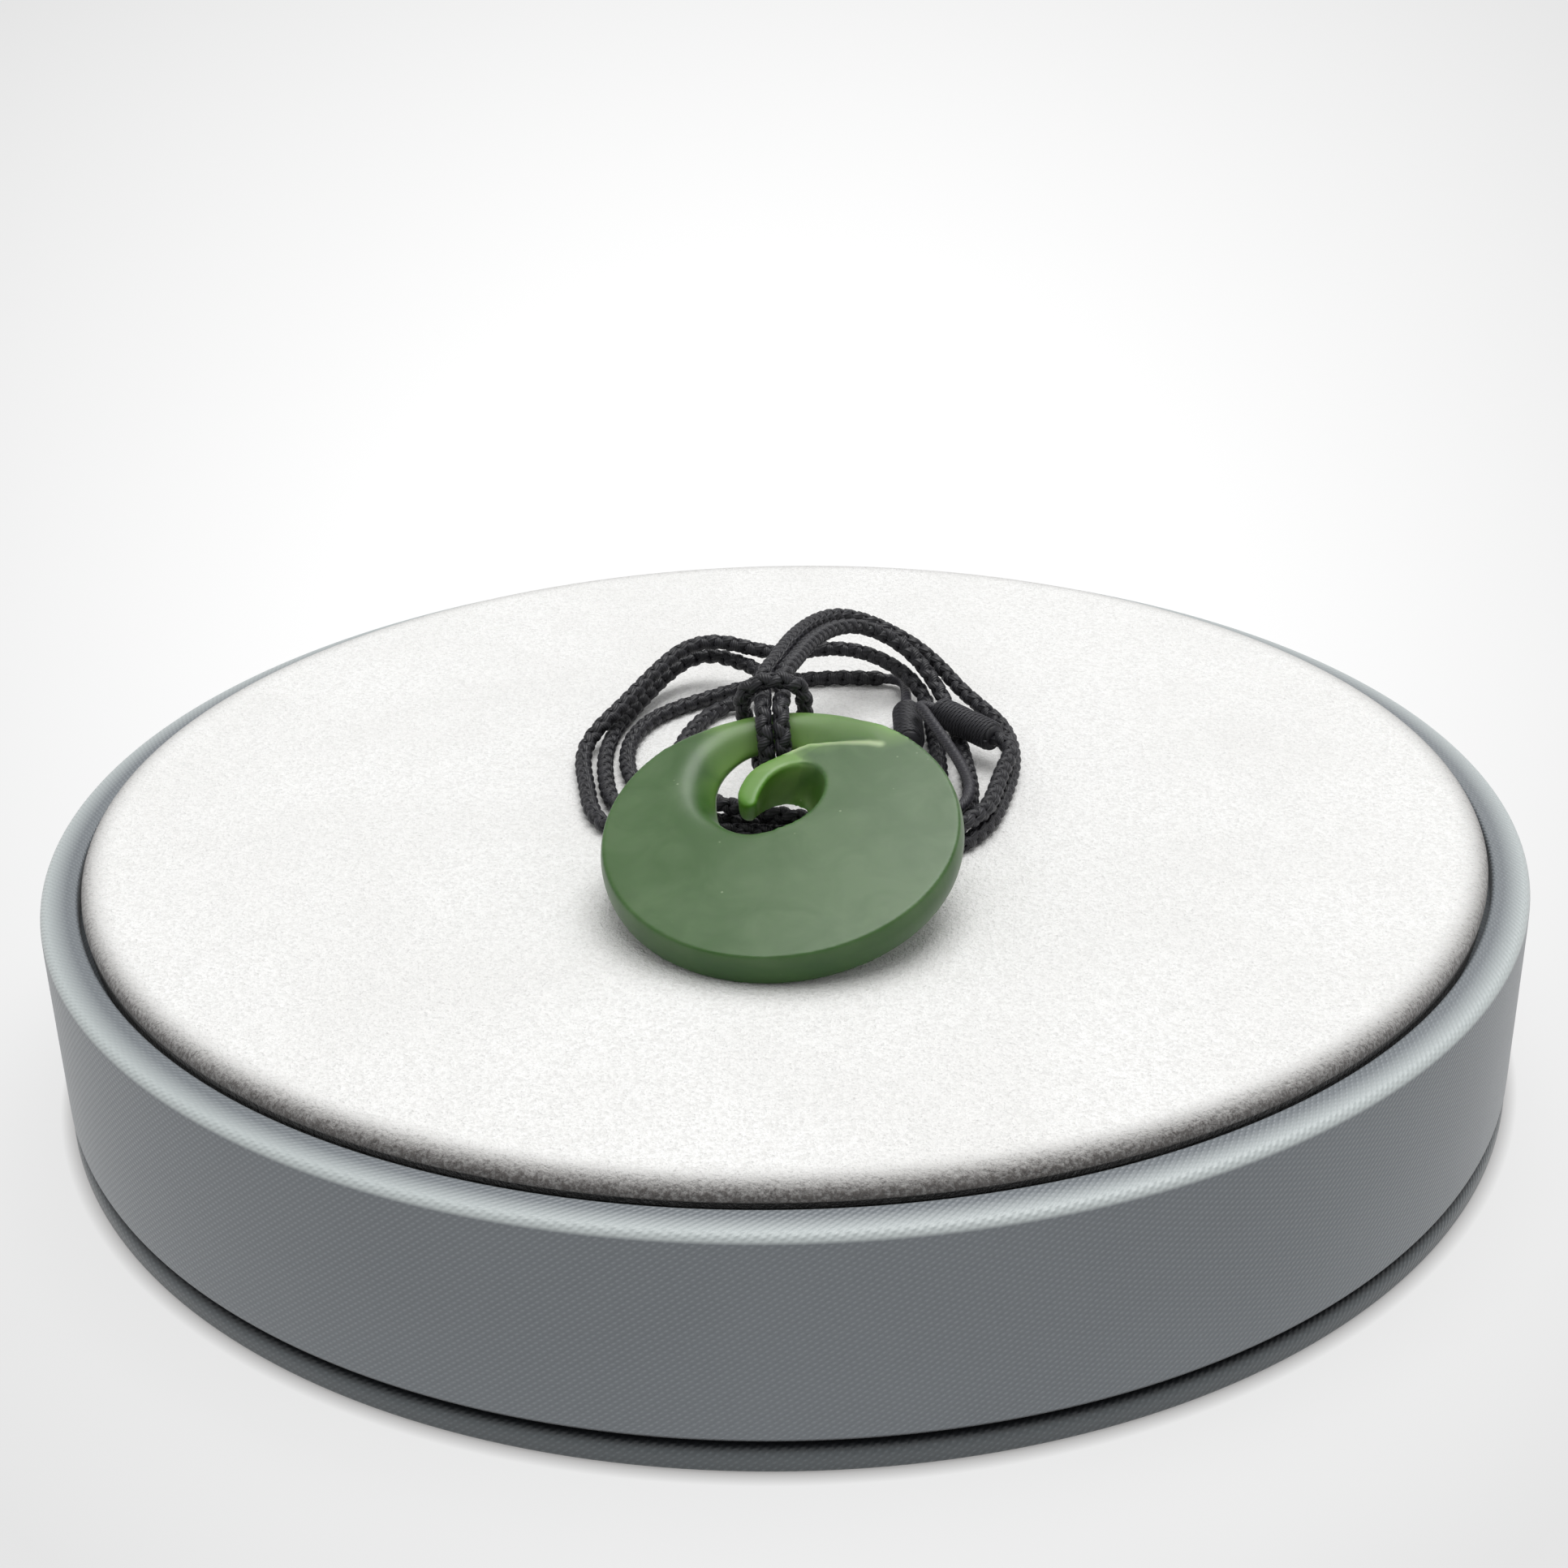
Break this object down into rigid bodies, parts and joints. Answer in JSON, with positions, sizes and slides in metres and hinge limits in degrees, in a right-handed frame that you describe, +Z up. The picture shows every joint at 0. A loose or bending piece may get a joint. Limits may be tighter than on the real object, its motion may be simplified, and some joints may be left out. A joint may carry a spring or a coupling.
{
  "type": "koru pendant on a round display stand",
  "caption": "Carved greenstone koru disc on a doubled braided cord with slide knots, lying on a round padded display stand",
  "frame": {"origin": "middle of the stand's underside, on the surface that it stands on", "axes": "+Z up, the stand's axis; -Y towards the picture's camera, where the pendant's disc lies; +X to the right in the picture"},
  "size_m": [0.15, 0.15, 0.0421],
  "materials": {
    "foot": "satin",
    "drum_cover": "satin",
    "pad_suede": "matte",
    "greenstone": "polished",
    "braid": "satin",
    "thin_cord": "satin",
    "whipping": "satin"
  },
  "bodies": {
    "root": {"stand_foot": "foot", "stand_drum": "drum_cover", "stand_pad": "pad_suede", "koru_stone": "greenstone", "braided_cord": "braid", "thin_cord": "thin_cord", "slide_knot_1": "whipping", "slide_knot_2": "whipping"}
  },
  "joints": []
}
